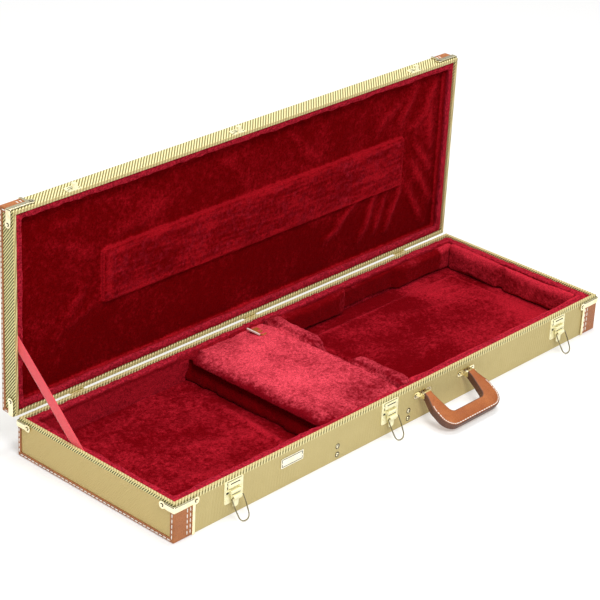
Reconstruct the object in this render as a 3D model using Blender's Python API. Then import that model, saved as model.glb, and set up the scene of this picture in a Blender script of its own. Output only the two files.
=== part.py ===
"""Rectangular hard case for an electric guitar, standing open on its back.

World frame: metres, +Z up, +X along the case, -Y towards the latches and the handle.
The origin is the centre of the tray's underside. The lid is modelled closed, then
its pivot empty turns it to the open position that the part rests in.
"""

import math

import bmesh
import bpy
from mathutils import Matrix, Vector

# Driving dimensions
LENGTH = 1.050            # over the leather ends
WIDTH = 0.352             # over the leather ends
TRAY_HEIGHT = 0.068
LID_HEIGHT = 0.032
SEAM = 0.0006             # between the two rims when the case is shut
WALL = 0.006              # plywood walls
PANEL = 0.004             # plywood bottom and top
LEATHER = 0.0012
SHEET = 0.0012            # brass sheet
GAP = 0.0003              # clearance between pieces that touch

LINING = 0.010            # padded plush on the tray's walls
LID_LINING = 0.008
FLOOR_TOP = 0.015
LINING_TOP = TRAY_HEIGHT - 0.002

LEATHER_BAND = 0.041      # leather along the sides, at each end
LEATHER_BORDER = 0.008    # leather folded onto the end faces
BRACKET_DROP = 0.004      # rim to corner bracket
BRACKET_HEIGHT = 0.012
BRACKET_SIDE_LEG = 0.050
BRACKET_END_LEG = 0.030
BRACKET_LOBE = 0.0064     # radius of the flared end of each leg
BRACKET_LOBE_INSET = 0.004
TRIM_WIDTH = 0.0055

HINGE_X = (-0.397, 0.0, 0.395)
HINGE_WIDTH = 0.030
HINGE_OFFSET = 0.0022     # axis behind the back wall
HINGE_DROP = 0.0046       # axis below the lid's rim
KNUCKLE_RADIUS = 0.0020
PIN_RADIUS = 0.0010
OPEN_ANGLE = math.radians(90)

LATCH_X = (-0.400, -0.041, 0.409)
LATCH_PLATE = (0.040, 0.040)
LATCH_PLATE_Z = 0.0425
LEVER_AXIS_OUT = 0.0055
LEVER_AXIS_Z = 0.044
LEVER_WIDTH = 0.020
LEVER_TIP_Z = 0.016
BAIL_AXIS_OUT = 0.0090
BAIL_AXIS_Z = 0.0350
BAIL_LENGTH = 0.0385
BAIL_HALF_WIDTH = 0.0124
BAIL_RADIUS = 0.0010
BAIL_LEAN = math.radians(30)
CATCH_SHELF_Z = 0.0694
CATCH_SHELF = (0.0040, 0.0018)   # half width, thickness
CATCH_REACH = 0.0115
CATCH_LIP = (0.0014, 0.0065)     # thickness, height

HANDLE_X = 0.0975
HANDLE_SPACING = 0.113
HANDLE_AXIS_OUT = 0.010
HANDLE_AXIS_Z = 0.0465
HANDLE_DROOP = math.radians(30)
HANDLE_THICKNESS = 0.013
HANDLE_REACH = 0.0735
HANDLE_GRIP = 0.026
HANDLE_LEG = 0.016
HANDLE_PIN_RADIUS = 0.002

POCKET_LEFT = -0.171
POCKET_RIGHT = 0.005
POCKET_WALL = 0.009
POCKET_LID_Z = (0.0526, 0.0602)
POCKET_LID_X = (-0.1762, POCKET_RIGHT - 0.0004)
CRADLE_X = (0.0055, 0.0330)
CRADLE_TOP = 0.066
NECK_DIP_WIDTH = 0.066
NECK_DIP_Z = 0.052

NECK_PAD_X = (-0.328, 0.405)
NECK_PAD_WIDTH = 0.095

STRAP_Y = 0.047
STRAP_RISE = 0.126        # lid end, above the hinge axis
STRAP_WIDTH = 0.022
STRAP_THICKNESS = 0.001
STRAP_TUCK = 0.016        # length tucked behind the linings, at each end
STRAP_MARGIN = 0.0006

# Worked out from them
HALF_LENGTH = LENGTH / 2 - LEATHER - GAP          # outer faces of the plywood
HALF_WIDTH = WIDTH / 2 - LEATHER - GAP
LID_RIM = TRAY_HEIGHT + SEAM
LID_TOP = LID_RIM + LID_HEIGHT
HINGE_Y = HALF_WIDTH + HINGE_OFFSET
HINGE_Z = LID_RIM - HINGE_DROP
INNER_X = HALF_LENGTH - WALL - GAP
INNER_Y = HALF_WIDTH - WALL - GAP
ROOM_X = INNER_X - LINING - GAP                   # inside the linings
ROOM_Y = INNER_Y - LINING - GAP
FACE = -(HALF_WIDTH + GAP)                        # where hardware sits on the front

COLOURS = {
    "tweed": ((0.56, 0.46, 0.19), 0.8, 0.0),
    "leather": ((0.50, 0.19, 0.07), 0.5, 0.0),
    "plush": ((0.42, 0.01, 0.03), 0.95, 0.0),
    "brass": ((0.90, 0.74, 0.40), 0.25, 1.0),
    "steel": ((0.55, 0.55, 0.55), 0.3, 1.0),
    "ribbon": ((0.75, 0.10, 0.08), 0.6, 0.0),
}

for old in list(bpy.data.objects):
    bpy.data.objects.remove(old, do_unlink=True)

PARTS = bpy.data.collections.new("guitar_case")
CUTTERS = bpy.data.collections.new("cutters")
for collection in (PARTS, CUTTERS):
    bpy.context.scene.collection.children.link(collection)


# ---------------------------------------------------------------- helpers

def material_for(name, kind):
    colour, roughness, metallic = COLOURS[kind]
    material = bpy.data.materials.new(name)
    material.use_nodes = True
    shader = material.node_tree.nodes["Principled BSDF"]
    shader.inputs["Base Color"].default_value = (*colour, 1.0)
    shader.inputs["Roughness"].default_value = roughness
    shader.inputs["Metallic"].default_value = metallic
    material.diffuse_color = (*colour, 1.0)
    return material


def new_object(name, mesh, kind, location):
    """Link a mesh as a named piece, or as a helper when it has no kind."""
    piece = bpy.data.objects.new(name, mesh)
    piece.location = location
    if kind:
        mesh.materials.append(material_for(name, kind))
        PARTS.objects.link(piece)
    else:
        CUTTERS.objects.link(piece)
        piece.hide_render = True
        piece.display_type = "WIRE"
    return piece


def block(name, low, high, kind=None, bevel=0.0, segments=1):
    """A box between two corners, with its edges bevelled."""
    low, high = Vector(low), Vector(high)
    bm = bmesh.new()
    bmesh.ops.create_cube(bm, size=1.0)
    bmesh.ops.scale(bm, vec=high - low, verts=bm.verts)
    if bevel:
        bmesh.ops.bevel(bm, geom=bm.edges[:], offset=bevel, segments=segments,
                        affect="EDGES", profile=0.5)
    mesh = bpy.data.meshes.new(name)
    bm.to_mesh(mesh)
    bm.free()
    return new_object(name, mesh, kind, (low + high) / 2)


def rod(name, centre, axis, radius, length, kind=None, segments=16):
    """A cylinder along X, Y or Z."""
    turn = {"X": Matrix.Rotation(math.pi / 2, 3, "Y"),
            "Y": Matrix.Rotation(math.pi / 2, 3, "X"),
            "Z": Matrix.Identity(3)}[axis]
    bm = bmesh.new()
    bmesh.ops.create_cone(bm, cap_ends=True, segments=segments, radius1=radius,
                          radius2=radius, depth=length)
    bmesh.ops.rotate(bm, matrix=turn, verts=bm.verts)
    mesh = bpy.data.meshes.new(name)
    bm.to_mesh(mesh)
    bm.free()
    mesh.shade_smooth()
    mesh.set_sharp_from_angle(angle=math.radians(40))
    return new_object(name, mesh, kind, centre)


def screw(name, centre, axis, radius, height=0.0014):
    """The low round head of a screw, nail or rivet."""
    return rod(name, centre, axis, radius, height, None, 12)


def rounded(corners, steps=4):
    """Outline points through (x, y, radius) corners, with an arc at each one."""
    points = []
    for i, (x, y, radius) in enumerate(corners):
        corner = Vector((x, y))
        before = (Vector(corners[i - 1][:2]) - corner).normalized()
        after = (Vector(corners[(i + 1) % len(corners)][:2]) - corner).normalized()
        if radius == 0:
            points.append(corner)
            continue
        half = before.angle(after) / 2
        centre = corner + (before + after).normalized() * radius / math.sin(half)
        start = (corner + before * radius / math.tan(half) - centre).normalized()
        end = (corner + after * radius / math.tan(half) - centre).normalized()
        for step in range(steps + 1):
            points.append(centre + radius * start.slerp(end, step / steps))
    return points


def plate(name, outline, low, high, kind=None):
    """A flat outline in XY, extruded from low to high along Z."""
    curve = bpy.data.curves.new(name, "CURVE")
    curve.dimensions = "2D"
    curve.fill_mode = "BOTH"
    curve.extrude = (high - low) / 2
    spline = curve.splines.new("POLY")
    spline.points.add(len(outline) - 1)
    for point, (x, y) in zip(spline.points, outline):
        point.co = (x, y, 0, 1)
    spline.use_cyclic_u = True
    return from_curve(name, curve, kind, (0, 0, (low + high) / 2))


def from_curve(name, curve, kind, location):
    """Turn a curve into a closed mesh piece with welded caps."""
    source = bpy.data.objects.new(name + "_curve", curve)
    CUTTERS.objects.link(source)
    bpy.context.view_layer.update()
    evaluated = source.evaluated_get(bpy.context.evaluated_depsgraph_get())
    mesh = bpy.data.meshes.new_from_object(evaluated)
    bpy.data.objects.remove(source, do_unlink=True)
    bm = bmesh.new()
    bm.from_mesh(mesh)
    bmesh.ops.remove_doubles(bm, verts=bm.verts, dist=1e-6)
    bmesh.ops.recalc_face_normals(bm, faces=bm.faces)
    bm.to_mesh(mesh)
    bm.free()
    mesh.materials.clear()
    mesh.name = name
    return new_object(name, mesh, kind, location)


def stand_up(piece, facing, location):
    """Turn a plate drawn in XY so that its Y runs along Z, facing -Y or -X."""
    turn = {"front": Matrix.Rotation(math.pi / 2, 4, "X"),
            "left": Matrix.Rotation(-math.pi / 2, 4, "Z") @ Matrix.Rotation(math.pi / 2, 4, "X")}
    piece.matrix_world = Matrix.Translation(location) @ turn[facing] @ Matrix.Translation(
        piece.location)


def combine(piece, tool, operation):
    modifier = piece.modifiers.new(operation.title() + " " + tool.name, "BOOLEAN")
    modifier.operation = operation
    modifier.solver = "EXACT"
    modifier.object = tool


def cut(piece, *tools):
    for tool in tools:
        combine(piece, tool, "DIFFERENCE")


def fuse(piece, *tools):
    for tool in tools:
        combine(piece, tool, "UNION")


def pivot(name, location):
    empty = bpy.data.objects.new(name, None)
    empty.empty_display_size = 0.02
    empty.location = location
    PARTS.objects.link(empty)
    return empty


def hang(empty, *pieces):
    """Parent pieces, with the tools that shape them, where they already are."""
    bpy.context.view_layer.update()
    inverse = empty.matrix_world.inverted()
    for piece in pieces:
        tools = [m.object for m in piece.modifiers if m.type == "BOOLEAN"]
        for item in [piece, *tools]:
            item.parent = empty
            item.matrix_parent_inverse = inverse


# ---------------------------------------------------------------- plywood shells

def shell(prefix, face_name, face_z, rim_z):
    """Four walls and a panel; the ends are rebated under the leather's fold."""
    low, high = sorted((face_z, rim_z))
    inward = 1 if rim_z > face_z else -1
    rebates = []
    for side in (-1, 1):
        near = side * (LENGTH / 2 - LEATHER_BAND - GAP)
        far = side * LENGTH
        floor = sorted((face_z - inward * PANEL, face_z + inward * (LEATHER + GAP)))
        rebates.append(block(f"{prefix}_rebate_{side}", (min(near, far), -WIDTH, floor[0]),
                             (max(near, far), WIDTH, floor[1])))

    pieces = []
    for word, side in (("front", -1), ("back", 1)):
        y = sorted((side * HALF_WIDTH, side * (HALF_WIDTH - WALL)))
        pieces.append(block(f"{prefix}_{word}_wall", (-HALF_LENGTH, y[0], low),
                            (HALF_LENGTH, y[1], high), "tweed", 0.0006))
    for word, side in (("left", -1), ("right", 1)):
        x = sorted((side * HALF_LENGTH, side * (HALF_LENGTH - WALL)))
        reach = HALF_WIDTH - WALL - GAP
        pieces.append(block(f"{prefix}_{word}_wall", (x[0], -reach, low),
                            (x[1], reach, high), "tweed", 0.0006))
    inner = sorted((face_z, face_z + inward * PANEL))
    pieces.append(block(face_name, (-INNER_X, -INNER_Y, inner[0]),
                        (INNER_X, INNER_Y, inner[1]), "tweed"))
    for piece in pieces:
        cut(piece, *rebates)
    return pieces


def leather_end(name, side, face_z, edge_z):
    """Leather that wraps the sides and the face, with a border on the end face."""
    low, high = sorted((face_z, edge_z))
    inward = 1 if edge_z > face_z else -1
    outer_x = LENGTH / 2
    x = sorted((side * outer_x, side * (outer_x - 1.2 * LEATHER_BAND)))
    skin = block(name, (x[0], -WIDTH / 2, low - 0.005 * (inward < 0)),
                 (x[1], WIDTH / 2, high + 0.005 * (inward > 0)), "leather", 0.0025, 3)

    x = sorted((side * (outer_x - LEATHER), side * (outer_x - 2 * LEATHER_BAND)))
    z = sorted((face_z + inward * LEATHER, edge_z + inward * 0.02))
    hollow = block(name + "_hollow", (x[0], -WIDTH / 2 + LEATHER, z[0]),
                   (x[1], WIDTH / 2 - LEATHER, z[1]))
    x = sorted((side * (outer_x + 0.01), side * (outer_x - 0.005)))
    z = sorted((face_z + inward * LEATHER_BORDER, edge_z + inward * 0.02))
    window = block(name + "_window", (x[0], -WIDTH / 2 + LEATHER_BORDER, z[0]),
                   (x[1], WIDTH / 2 - LEATHER_BORDER, z[1]))
    z = sorted((edge_z, edge_z + inward * 0.02))
    x = sorted((side * (outer_x + 0.01), side * (outer_x - 2 * LEATHER_BAND)))
    trim_top = block(name + "_top", (x[0], -WIDTH, z[0]), (x[1], WIDTH, z[1]))
    x = sorted((side * (outer_x - LEATHER_BAND), side * (outer_x - 2 * LEATHER_BAND)))
    inner_edge = block(name + "_edge", (x[0], -WIDTH, low - 0.02), (x[1], WIDTH, high + 0.02))
    cut(skin, hollow, window, trim_top, inner_edge)
    return skin


def corner_bracket(name, side_x, side_y, rim_z, face_z):
    """Brass corner: two legs just off the rim, nail heads, and the leather's trim."""
    inward = 1 if face_z > rim_z else -1
    out_x = LENGTH / 2 + GAP + SHEET
    out_y = WIDTH / 2 + GAP + SHEET
    near = rim_z + inward * BRACKET_DROP
    far = near + inward * BRACKET_HEIGHT
    z = sorted((near, far))
    x = sorted((side_x * out_x, side_x * (out_x - BRACKET_SIDE_LEG)))
    y = sorted((side_y * out_y, side_y * (out_y - BRACKET_END_LEG)))
    legs = block(name, (x[0], y[0], z[0]), (x[1], y[1], z[1]), "brass", 0.0022, 2)
    x = sorted((side_x * (out_x - SHEET), side_x * (out_x - 2 * BRACKET_SIDE_LEG)))
    y = sorted((side_y * (out_y - SHEET), side_y * (out_y - 2 * BRACKET_END_LEG)))
    inside = block(name + "_inside", (x[0], y[0], z[0] - 0.01), (x[1], y[1], z[1] + 0.01))
    cut(legs, inside)

    middle = (near + far) / 2
    side_end = side_x * (out_x - BRACKET_SIDE_LEG)
    end_end = side_y * (out_y - BRACKET_END_LEG)
    face_y = side_y * (out_y - SHEET / 2)
    face_x = side_x * (out_x - SHEET / 2)
    trim_x = side_x * (LENGTH / 2 - LEATHER_BAND + 0.001)
    stop = face_z - inward * 0.0008
    trim = block(name + "_trim", (trim_x - TRIM_WIDTH / 2, face_y - SHEET / 2, min(middle, stop)),
                 (trim_x + TRIM_WIDTH / 2, face_y + SHEET / 2, max(middle, stop)))
    nail_y = side_y * (out_y + 0.0004)
    nail_x = side_x * (out_x + 0.0004)
    lobe_x = side_end + side_x * BRACKET_LOBE_INSET
    lobe_y = end_end + side_y * BRACKET_LOBE_INSET
    fuse(legs, trim,
         rod(name + "_lobe_side", (lobe_x, face_y, middle), "Y", BRACKET_LOBE, SHEET),
         rod(name + "_lobe_end", (face_x, lobe_y, middle), "X", BRACKET_LOBE, SHEET),
         screw(name + "_nail_side", (lobe_x, nail_y, middle), "Y", 0.0021, 0.0016),
         screw(name + "_nail_end", (nail_x, lobe_y, middle), "X", 0.0021, 0.0016))
    return legs


# ---------------------------------------------------------------- linings and pocket

def strap_blank(name, margin=0.0, kind=None):
    """The strap, or the slot with a margin round it where its ends lie behind the linings."""
    thickness = STRAP_THICKNESS + 2 * margin
    tray_end = Vector((STRAP_Y, TRAY_HEIGHT))
    lid_end = Vector((HINGE_Y + HINGE_DROP, HINGE_Z + STRAP_RISE))
    run = lid_end - tray_end
    length = run.length + 2 * STRAP_TUCK + 2 * margin
    middle = (tray_end + lid_end) / 2
    x = -INNER_X + 0.0008
    ribbon = block(name, (x - thickness / 2, -length / 2, -STRAP_WIDTH / 2 - margin),
                   (x + thickness / 2, length / 2, STRAP_WIDTH / 2 + margin), kind)
    ribbon.location = (x, middle.x, middle.y)
    ribbon.rotation_euler.x = math.atan2(run.y, run.x)
    return ribbon


def tray_linings():
    lining = block("tray_side_lining", (-INNER_X, -INNER_Y, PANEL + GAP),
                   (INNER_X, INNER_Y, LINING_TOP), "plush", 0.002)
    room = block("tray_room", (-INNER_X + LINING, -INNER_Y + LINING, -0.01),
                 (INNER_X - LINING, INNER_Y - LINING, TRAY_HEIGHT))
    cut(lining, room, strap_blank("tray_strap_slot", STRAP_MARGIN))
    floor = block("tray_floor_pad", (-ROOM_X, -ROOM_Y, PANEL + GAP),
                  (ROOM_X, ROOM_Y, FLOOR_TOP), "plush", 0.001)
    return lining, floor


def body_bolsters():
    """Foam blocks round the guitar's body: back with two lobes, end with a cleft."""
    base = FLOOR_TOP + GAP
    left = CRADLE_X[1] + GAP
    thin, thick = 0.004, 0.014
    back = plate("bolster_back", rounded([
        (left, ROOM_Y, 0), (left, ROOM_Y - thick, 0), (0.205, ROOM_Y - thick, 0.008),
        (0.215, ROOM_Y - thin, 0.004), (0.345, ROOM_Y - thin, 0.004),
        (0.355, ROOM_Y - thick, 0.008), (ROOM_X, ROOM_Y - thick, 0), (ROOM_X, ROOM_Y, 0)]),
        base, 0.058, "plush")
    limit = ROOM_Y - thick - GAP
    cleft = 0.020
    end = plate("bolster_end", rounded([
        (ROOM_X, -limit, 0), (ROOM_X, limit, 0), (ROOM_X - thick, limit, 0),
        (ROOM_X - thick, cleft + 0.012, 0.006), (ROOM_X - thin, cleft, 0.002),
        (ROOM_X - thick, cleft - 0.012, 0.006), (ROOM_X - thick, -limit, 0)]),
        base, 0.060, "plush")
    front = block("bolster_front", (left, -ROOM_Y, base),
                  (ROOM_X, -ROOM_Y + thick - GAP, 0.062), "plush", 0.003)
    return back, end, front


def pocket():
    base = FLOOR_TOP + GAP
    top = POCKET_LID_Z[0] - GAP
    left = block("pocket_left_wall", (POCKET_LEFT, -ROOM_Y, base),
                 (POCKET_LEFT + POCKET_WALL, ROOM_Y, top), "plush")
    right = block("pocket_right_wall", (POCKET_RIGHT - POCKET_WALL, -ROOM_Y, base),
                  (POCKET_RIGHT, ROOM_Y, top), "plush")
    lid = block("pocket_lid", (POCKET_LID_X[0], -ROOM_Y + 0.0006, POCKET_LID_Z[0]),
                (POCKET_LID_X[1], ROOM_Y - 0.0006, POCKET_LID_Z[1]), "plush", 0.0025, 2)
    tab = block("pocket_pull_tab", (-0.042, 0.119, POCKET_LID_Z[1] + GAP),
                (-0.018, 0.148, POCKET_LID_Z[1] + GAP + 0.0016), "leather", 0.0004)
    empty = pivot("pocket_lid_pivot", (POCKET_LID_X[0], 0, POCKET_LID_Z[0]))
    hang(empty, lid, tab)
    return left, right, lid, tab


def neck_cradle():
    """A padded ridge with a rounded dip for the guitar's neck."""
    base = FLOOR_TOP + GAP
    dip = NECK_DIP_WIDTH / 2
    outline = rounded([
        (-ROOM_Y, base, 0), (ROOM_Y, base, 0), (ROOM_Y, CRADLE_TOP, 0.006),
        (dip + 0.008, CRADLE_TOP, 0.010), (dip - 0.004, NECK_DIP_Z, 0.008),
        (-dip + 0.004, NECK_DIP_Z, 0.008), (-dip - 0.008, CRADLE_TOP, 0.010),
        (-ROOM_Y, CRADLE_TOP, 0.006)])
    width = CRADLE_X[1] - CRADLE_X[0]
    ridge = plate("neck_cradle", outline, -width / 2, width / 2, "plush")
    turn = Matrix.Rotation(math.pi / 2, 4, "Z") @ Matrix.Rotation(math.pi / 2, 4, "X")
    ridge.matrix_world = Matrix.Translation((sum(CRADLE_X) / 2, 0, 0)) @ turn
    return ridge


def lid_linings():
    face = LID_TOP - PANEL - GAP
    pad = face - 0.006
    lining = block("lid_lining", (-INNER_X, -INNER_Y, LID_RIM + 0.002),
                   (INNER_X, INNER_Y, face), "plush", 0.002)
    room = block("lid_room", (-INNER_X + LID_LINING, -INNER_Y + LID_LINING, 0),
                 (INNER_X - LID_LINING, INNER_Y - LID_LINING, pad))
    cut(lining, room)
    neck = block("lid_neck_pad", (NECK_PAD_X[0], -NECK_PAD_WIDTH / 2, pad - GAP - 0.009),
                 (NECK_PAD_X[1], NECK_PAD_WIDTH / 2, pad - GAP), "plush", 0.004, 2)
    return lining, neck


# ---------------------------------------------------------------- hinges

def hinge(number, x):
    """Two flat leaves whose knuckles share a pin just below the tray's rim."""
    half = HINGE_WIDTH / 2
    clear = KNUCKLE_RADIUS + GAP
    third = HINGE_WIDTH / 6
    face = HALF_WIDTH + GAP
    pieces = []
    for word, way in (("tray", -1), ("lid", 1)):
        name = f"hinge_{word}_leaf_{number}"
        z = sorted((HINGE_Z + way * clear, HINGE_Z + way * 0.0255))
        leaf = block(name, (x - half, face, z[0]), (x + half, face + SHEET, z[1]), "brass", 0.0003)
        z = sorted((HINGE_Z, HINGE_Z + way * (clear + 0.001)))
        spans = [(-half, -third - GAP), (third + GAP, half)] if way < 0 else [(-third, third)]
        for i, (start, end) in enumerate(spans):
            fuse(leaf,
                 block(f"{name}_web_{i}", (x + start, face + 0.0002, z[0]),
                       (x + end, face + SHEET, z[1])),
                 rod(f"{name}_knuckle_{i}", (x + (start + end) / 2, HINGE_Y, HINGE_Z), "X",
                     KNUCKLE_RADIUS, end - start))
        cut(leaf, rod(f"{name}_bore", (x, HINGE_Y, HINGE_Z), "X", PIN_RADIUS + 0.0002,
                      HINGE_WIDTH * 1.2))
        for dx in (-0.009, 0.009):
            fuse(leaf, screw(f"{name}_screw_{dx}", (x + dx, face + SHEET, HINGE_Z + way * 0.0180),
                             "Y", 0.0024, 0.0016))
        pieces.append(leaf)
    pieces.append(rod(f"hinge_pin_{number}", (x, HINGE_Y, HINGE_Z), "X", PIN_RADIUS,
                      HINGE_WIDTH + 0.001, "steel", 12))
    return pieces


# ---------------------------------------------------------------- latches

def latch(number, x):
    """Draw latch: base plate, lever, wire bail on the lever, catch on the lid."""
    half_w, half_h = LATCH_PLATE[0] / 2, LATCH_PLATE[1] / 2
    axis_y = FACE - LEVER_AXIS_OUT
    half_lever = LEVER_WIDTH / 2
    name = f"latch_base_{number}"
    base = plate(name, rounded([(-half_w, -half_h, 0.004), (half_w, -half_h, 0.004),
                                (half_w, half_h, 0.003), (-half_w, half_h, 0.003)]),
                 0, SHEET, "brass")
    stand_up(base, "front", (x, FACE, LATCH_PLATE_Z))
    hood = block(name + "_hood", (x - 0.0135, FACE - 0.0036, 0.0490),
                 (x + 0.0135, FACE - SHEET / 2, 0.0595), None, 0.0012)
    fuse(base, hood)
    for side in (-1, 1):
        ear_x = sorted((x + side * (half_lever + 0.0003), x + side * (half_lever + 0.0015)))
        fuse(base, block(f"{name}_ear_{side}", (ear_x[0], axis_y - 0.0018, LEVER_AXIS_Z - 0.003),
                         (ear_x[1], FACE - SHEET / 2, LEVER_AXIS_Z + 0.003)))
        for dz in (-0.013, 0.0125):
            centre = (x + side * 0.0165, FACE - SHEET, LATCH_PLATE_Z + dz)
            fuse(base, screw(f"{name}_screw_{side}_{dz}", centre, "Y", 0.0023, 0.0016))
    cut(base, rod(name + "_bore", (x, axis_y, LEVER_AXIS_Z), "X", 0.0014, LEVER_WIDTH * 1.5))

    name = f"latch_lever_{number}"
    tip = LEVER_TIP_Z - LEVER_AXIS_Z
    tongue = plate(name, rounded([
        (-half_lever, 0.002, 0.001), (-half_lever, -0.011, 0.004), (-0.0065, -0.017, 0.004),
        (-0.0055, tip, 0.004), (0.0055, tip, 0.004), (0.0065, -0.017, 0.004),
        (half_lever, -0.011, 0.004), (half_lever, 0.002, 0.001)], 2), -0.0007, 0.0007, "brass")
    stand_up(tongue, "front", (x, axis_y, LEVER_AXIS_Z))
    bail_y = FACE - BAIL_AXIS_OUT
    axle = (x, axis_y, LEVER_AXIS_Z)
    fuse(tongue, rod(name + "_axle", axle, "X", 0.0011, LEVER_WIDTH + 0.0026, None, 12),
         rod(name + "_root", axle, "X", 0.0020, LEVER_WIDTH - 0.0004, None, 12),
         rod(name + "_barrel", (x, bail_y + 0.0003, BAIL_AXIS_Z), "X", 0.0031,
             LEVER_WIDTH - 0.0030))
    cut(tongue, rod(name + "_bail_bore", (x, bail_y, BAIL_AXIS_Z), "X", 0.0013,
                    LEVER_WIDTH * 1.2, None, 12))
    lever_pivot = pivot(f"latch_lever_pivot_{number}", (x, axis_y, LEVER_AXIS_Z))
    hang(lever_pivot, tongue)

    wire = bail(f"latch_bail_{number}")
    wire.location = (x, bail_y, BAIL_AXIS_Z)
    wire.rotation_euler.x = -BAIL_LEAN
    hang(lever_pivot, wire)
    return base, tongue, wire, catch(number, x)


def bail(name):
    """A closed wire loop in XZ, hanging from its own origin."""
    straight = BAIL_LENGTH - BAIL_HALF_WIDTH
    outline = rounded([(-BAIL_HALF_WIDTH, 0, 0.0022), (-BAIL_HALF_WIDTH, -straight * 0.55, 0.02),
                       (-0.0100, -BAIL_LENGTH, 0.0095), (0.0100, -BAIL_LENGTH, 0.0095),
                       (BAIL_HALF_WIDTH, -straight * 0.55, 0.02), (BAIL_HALF_WIDTH, 0, 0.0022)], 5)
    curve = bpy.data.curves.new(name, "CURVE")
    curve.dimensions = "3D"
    curve.bevel_depth = BAIL_RADIUS
    curve.bevel_resolution = 2
    spline = curve.splines.new("POLY")
    spline.points.add(len(outline) - 1)
    for point, (px, pz) in zip(spline.points, outline):
        point.co = (px, 0, pz, 1)
    spline.use_cyclic_u = True
    wire = from_curve(name, curve, "brass", (0, 0, 0))
    wire.data.shade_smooth()
    return wire


def catch(number, x):
    """The lid's hooked plate that the bail pulls down."""
    name = f"latch_catch_{number}"
    low = CATCH_SHELF_Z
    hook = plate(name, rounded([(-0.015, 0, 0.003), (0.015, 0, 0.003), (0.011, 0.0155, 0.003),
                                (-0.011, 0.0155, 0.003)]), 0, SHEET, "brass")
    stand_up(hook, "front", (x, FACE, low - 0.0002))
    reach = FACE - CATCH_REACH
    half, thick = CATCH_SHELF
    fuse(hook,
         block(name + "_shelf", (x - half, reach, low), (x + half, FACE - SHEET / 2, low + thick)),
         block(name + "_lip", (x - half, reach, low),
               (x + half, reach + CATCH_LIP[0], low + CATCH_LIP[1])))
    for dx in (-0.0105, 0.0105):
        fuse(hook, screw(f"{name}_screw_{dx}", (x + dx, FACE - SHEET, low + 0.0052), "Y", 0.0018))
    return hook


# ---------------------------------------------------------------- handle and plate

def handle():
    """Leather grip on two cross pins; it rests drooping and swings up."""
    axis_y = FACE - HANDLE_AXIS_OUT
    half = HANDLE_SPACING / 2
    leg = HANDLE_LEG / 2
    outer, inner = half + leg + 0.0085, half - leg - 0.003
    deep = HANDLE_REACH - HANDLE_GRIP
    root = HANDLE_THICKNESS / 2
    right = [(inner - 0.004, deep, 0.010), (inner, deep * 0.55, 0.02), (half - leg, root, 0),
             (half - leg, -0.0013, 0), (half + leg, -0.0013, 0), (half + leg, root, 0),
             (outer, deep * 0.60, 0.03), (outer - 0.001, HANDLE_REACH, 0.026)]
    left = [(-x, y, radius) for x, y, radius in reversed(right)]
    outline = rounded(right + left, 5)
    grip = plate("handle_grip", outline, -HANDLE_THICKNESS / 2, HANDLE_THICKNESS / 2, "leather")
    droop = Matrix.Rotation(HANDLE_DROOP, 4, "X") @ Matrix.Rotation(math.pi, 4, "X")
    grip.matrix_world = Matrix.Translation((HANDLE_X, axis_y, HANDLE_AXIS_Z)) @ droop
    pieces = [grip]
    for side in (-1, 1):
        x = HANDLE_X + side * half
        fuse(grip, rod(f"grip_root_{side}", (x, axis_y, HANDLE_AXIS_Z), "X",
                       HANDLE_THICKNESS / 2 - 0.0004, HANDLE_LEG - 0.0006, None, 20))
        cut(grip, rod(f"grip_bore_{side}", (x, axis_y, HANDLE_AXIS_Z), "X",
                      HANDLE_PIN_RADIUS + 0.0004, HANDLE_LEG * 1.4, None, 12))
        name = f"handle_bracket_{'left' if side < 0 else 'right'}"
        bracket = plate(name, rounded([(-0.022, -0.0055, 0.005), (0.022, -0.0055, 0.005),
                                       (0.022, 0.0055, 0.005), (-0.022, 0.0055, 0.005)]),
                        0, SHEET, "brass")
        stand_up(bracket, "front", (x, FACE, HANDLE_AXIS_Z))
        for way in (-1, 1):
            cheek = sorted((x + way * (leg + 0.0004), x + way * (leg + 0.0022)))
            fuse(bracket,
                 block(f"{name}_cheek_{way}", (cheek[0], axis_y - 0.0035, HANDLE_AXIS_Z - 0.004),
                       (cheek[1], FACE - SHEET / 2, HANDLE_AXIS_Z + 0.004)),
                 screw(f"{name}_nail_{way}", (x + way * 0.0165, FACE - SHEET, HANDLE_AXIS_Z), "Y",
                       0.0024, 0.0018))
        fuse(bracket, rod(name + "_pin", (x, axis_y, HANDLE_AXIS_Z), "X", HANDLE_PIN_RADIUS,
                          HANDLE_LEG + 0.0040, None, 12))
        pieces.append(bracket)
    empty = pivot("handle_pivot", (HANDLE_X, axis_y, HANDLE_AXIS_Z))
    hang(empty, grip)
    return pieces


def nameplate():
    """A blank plate held by a rivet at each end."""
    x, z = -0.271, 0.0445
    badge = plate("nameplate", rounded([(-0.025, -0.0085, 0.001), (0.025, -0.0085, 0.001),
                                        (0.025, 0.0085, 0.001), (-0.025, 0.0085, 0.001)], 2),
                  0, 0.0010, "brass")
    stand_up(badge, "front", (x, FACE, z))
    for side in (-1, 1):
        fuse(badge, screw(f"nameplate_rivet_{side}", (x + side * 0.0215, FACE - 0.001, z), "Y",
                          0.0016, 0.0012))
    return badge


# ---------------------------------------------------------------- assembly

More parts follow.
